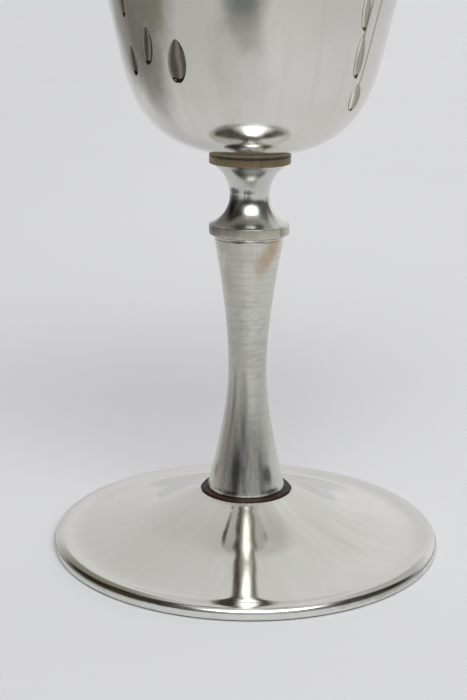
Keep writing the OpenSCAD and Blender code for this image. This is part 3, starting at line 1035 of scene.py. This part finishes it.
NUT_SIDE = NUT_R * math.cos(math.radians(30))  # distance from the axis to a side
NUT_COLUMNS = 120
NUT_SHARP = 25
NUT_MOUTH = 0.35  # chamfer at each end of the nut's bore
NUT_CHAMFER = math.radians(30)
NUT_FACE = 0.96  # radius of each flat face, as a share of NUT_SIDE


def hexagon_r(degrees):
    """Distance from the nut's axis to its sides, in a direction."""
    return NUT_SIDE / math.cos(math.radians(degrees % 60 - 30))


def make_nut():
    """A hexagon nut with both faces chamfered to the corners."""
    height = NUT_Z1 - NUT_Z0
    rises = [0, 0.08, 0.16, 0.26, 0.4, 0.6, height / 2]
    rises += [height - rise for rise in reversed(rises[:-1])]
    bore = [(NUT_MOUTH, height), (0, height - NUT_MOUTH), (0, NUT_MOUTH), (NUT_MOUTH, 0)]
    directions = [360 * j / NUT_COLUMNS for j in range(NUT_COLUMNS)]
    vertices = []
    for rise in rises:
        cone_r = NUT_SIDE * NUT_FACE + min(rise, height - rise) / math.tan(NUT_CHAMFER)
        for degrees in directions:
            vertices.append(around(min(hexagon_r(degrees), cone_r), math.radians(degrees), NUT_Z0 + rise))
    for out, rise in bore:
        vertices += [around(THREAD_BORE_R + out, math.radians(d), NUT_Z0 + rise) for d in directions]
    faces = grid_faces(len(rises) + len(bore), NUT_COLUMNS, True)
    piece = finish_mesh("hexagon_nut", vertices, faces, NUT_SHARP)
    material = tarnished_brass("nut brass", (0.55, 0.42, 0.22), 0.3)
    place(piece, "nut", ["foot_nut"], material)


LOCK_STEPS = 96
LOCK_GAP = math.radians(4)  # half of the lock washer's gap
LOCK_SLANT = math.radians(7)  # how far the cut leans over the washer's thickness


def make_lock_washer():
    """A spring washer: a flat ring cut through on a slant."""
    inner = ROD_R + 2 * RUNNING_FIT
    section = [(inner, LOCK_Z0), (LOCK_R, LOCK_Z0), (LOCK_R, LOCK_Z1), (inner, LOCK_Z1)]
    corners = len(section)
    sweep = 2 * math.pi - 2 * LOCK_GAP
    vertices, faces = [], []
    for i in range(LOCK_STEPS + 1):
        for r, z in section:
            lean = LOCK_SLANT if z == LOCK_Z1 else 0
            vertices.append(around(r, LOCK_GAP + lean + sweep * i / LOCK_STEPS, z))
    for i in range(LOCK_STEPS):
        here, there = i * corners, (i + 1) * corners
        for a in range(corners):
            b = (a + 1) % corners
            faces.append((there + a, there + b, here + b, here + a))
    end = LOCK_STEPS * corners
    faces += [(0, 1, 2, 3), (end + 3, end + 2, end + 1, end)]
    piece = finish_mesh("spring_washer", vertices, faces)
    place(piece, "lock_ride", ["lock_washer"], plain_steel("washer steel"))


def make_plate():
    outline = ring_outline(PASSAGE_R, PLATE_R, PLATE_Z0, PLATE_Z1, (0.2, 0.4, 0.3, 0.1))
    piece = lathe("load_plate", outline, 160)
    place(piece, "stand", ["spreader_plate"], plain_steel("plate steel"))


# ---------------------------------------- stage

FLOOR_HALF = 12.0  # in metres


def make_floor():
    mesh = bpy.data.meshes.new("floor")
    corners = [(-1, -1), (1, -1), (1, 1), (-1, 1)]
    mesh.from_pydata([(FLOOR_HALF * x, FLOOR_HALF * y, 0) for x, y in corners], [], [(0, 1, 2, 3)])
    floor = bpy.data.objects.new("floor", mesh)
    bpy.context.scene.collection.objects.link(floor)
    mesh.materials.append(paper_floor("floor paper"))


CAMERA_AT = (0, -0.30366, 0.12846)  # in metres
CAMERA_PITCH = math.radians(15.174)  # downwards
CAMERA_YAW = math.radians(-0.614)
CAMERA_ROLL = math.radians(0.550)


def make_camera():
    """The viewing angle: 15 degrees down, a hair to the left, from about 0.3 m."""
    flat, drop = math.cos(CAMERA_PITCH), math.sin(CAMERA_PITCH)
    forward = Vector((math.sin(CAMERA_YAW) * flat, math.cos(CAMERA_YAW) * flat, -drop))
    level = Vector((math.cos(CAMERA_YAW), -math.sin(CAMERA_YAW), 0))
    upright = level.cross(forward)
    right = math.cos(CAMERA_ROLL) * level + math.sin(CAMERA_ROLL) * upright
    up = -math.sin(CAMERA_ROLL) * level + math.cos(CAMERA_ROLL) * upright
    camera = bpy.data.objects.new("camera", bpy.data.cameras.new("camera"))
    turn = Matrix((right, up, -forward)).transposed().to_4x4()
    camera.matrix_world = Matrix.Translation(CAMERA_AT) @ turn
    camera.data.sensor_width = 36
    camera.data.lens = 70.35
    camera.data.clip_start = 0.01
    bpy.context.scene.collection.objects.link(camera)
    bpy.context.scene.camera = camera


WINDOW = 6.6  # brightness of the window
WINDOW_COLOUR = (WINDOW * 0.97, WINDOW * 0.985, WINDOW)


def between(tree, angle, start, end, out_low=0.0, out_high=1.0):
    """remap of an angle, with its range in degrees."""
    return remap(tree, angle, math.radians(start), math.radians(end), out_low, out_high)


def tent_tone(tree, x, elevation):
    """Pale walls, darker to the left, under a greyer lid."""
    walls = mix_colour(tree, remap(tree, x, -0.75, 0.7), (0.60, 0.595, 0.575), (0.86, 0.865, 0.865))
    return mix_colour(tree, between(tree, elevation, 54, 66), walls, (0.62, 0.605, 0.58))


def dark_tone(tree, direction, azimuth):
    """The dark room in front of the tent, browner to the left, with upright grey streaks."""
    streak = cloud(tree, stretched(tree, direction, (1.0, 1.0, 0.12)), 4.5, 3, 0.6)
    dark = mix_colour(tree, between(tree, azimuth, -100, -30), (0.075, 0.055, 0.036), (0.04, 0.04, 0.042))
    return mix_colour(tree, remap(tree, streak, 0.46, 0.66), dark, (0.20, 0.19, 0.175))


def opening_mask(tree, azimuth, elevation):
    """The tent's open front. Its top edge is higher at the left, and rises at both sides."""
    left = between(tree, azimuth, -132, -116)
    right = between(tree, azimuth, 122, 104)
    top_at = between(tree, azimuth, -70, -20, math.radians(60), math.radians(44))
    top_at = plus(tree, top_at, between(tree, absolute(tree, azimuth), 50, 85, 0.0, math.radians(16)))
    under_top = between(tree, minus(tree, elevation, top_at), 6, -6)
    return times(tree, times(tree, left, right), under_top)


def window_mask(tree, azimuth, elevation):
    """One big window with soft edges, high at the front and a little to the right."""
    across = times(tree, between(tree, azimuth, -38, 4), between(tree, azimuth, 60, 20))
    up = times(tree, between(tree, elevation, 14, 39), between(tree, elevation, 68, 44))
    return times(tree, across, up)


def make_room():
    """A pale tent behind, open in front to a darker room with one big soft window."""
    world = bpy.data.worlds.new("studio")
    bpy.context.scene.world = world
    world.use_nodes = True
    tree = world.node_tree
    tree.nodes.clear()
    direction = node(tree, "TexCoord").outputs["Generated"]
    x, y, z = node(tree, "SeparateXYZ", {0: direction}).outputs
    azimuth = maths(tree, "ARCTAN2", x, times(tree, y, -1.0))
    elevation = maths(tree, "ARCSINE", z)
    opening = opening_mask(tree, azimuth, elevation)
    tone = mix_colour(tree, opening, tent_tone(tree, x, elevation), dark_tone(tree, direction, azimuth))
    tone = mix_colour(tree, window_mask(tree, azimuth, elevation), tone, WINDOW_COLOUR)
    background = node(tree, "Background", {"Color": tone, "Strength": 1.0})
    node(tree, "OutputWorld", {"Surface": background.outputs[0]})


make_camera()
make_foot_ring()
make_foot()
make_gasket()
make_stem()
make_neck()
make_washer()
make_boss()
make_bowl()
make_rod()
make_plate()
make_lock_washer()
make_nut()
make_floor()
make_room()
bpy.context.scene.view_settings.view_transform = "Standard"
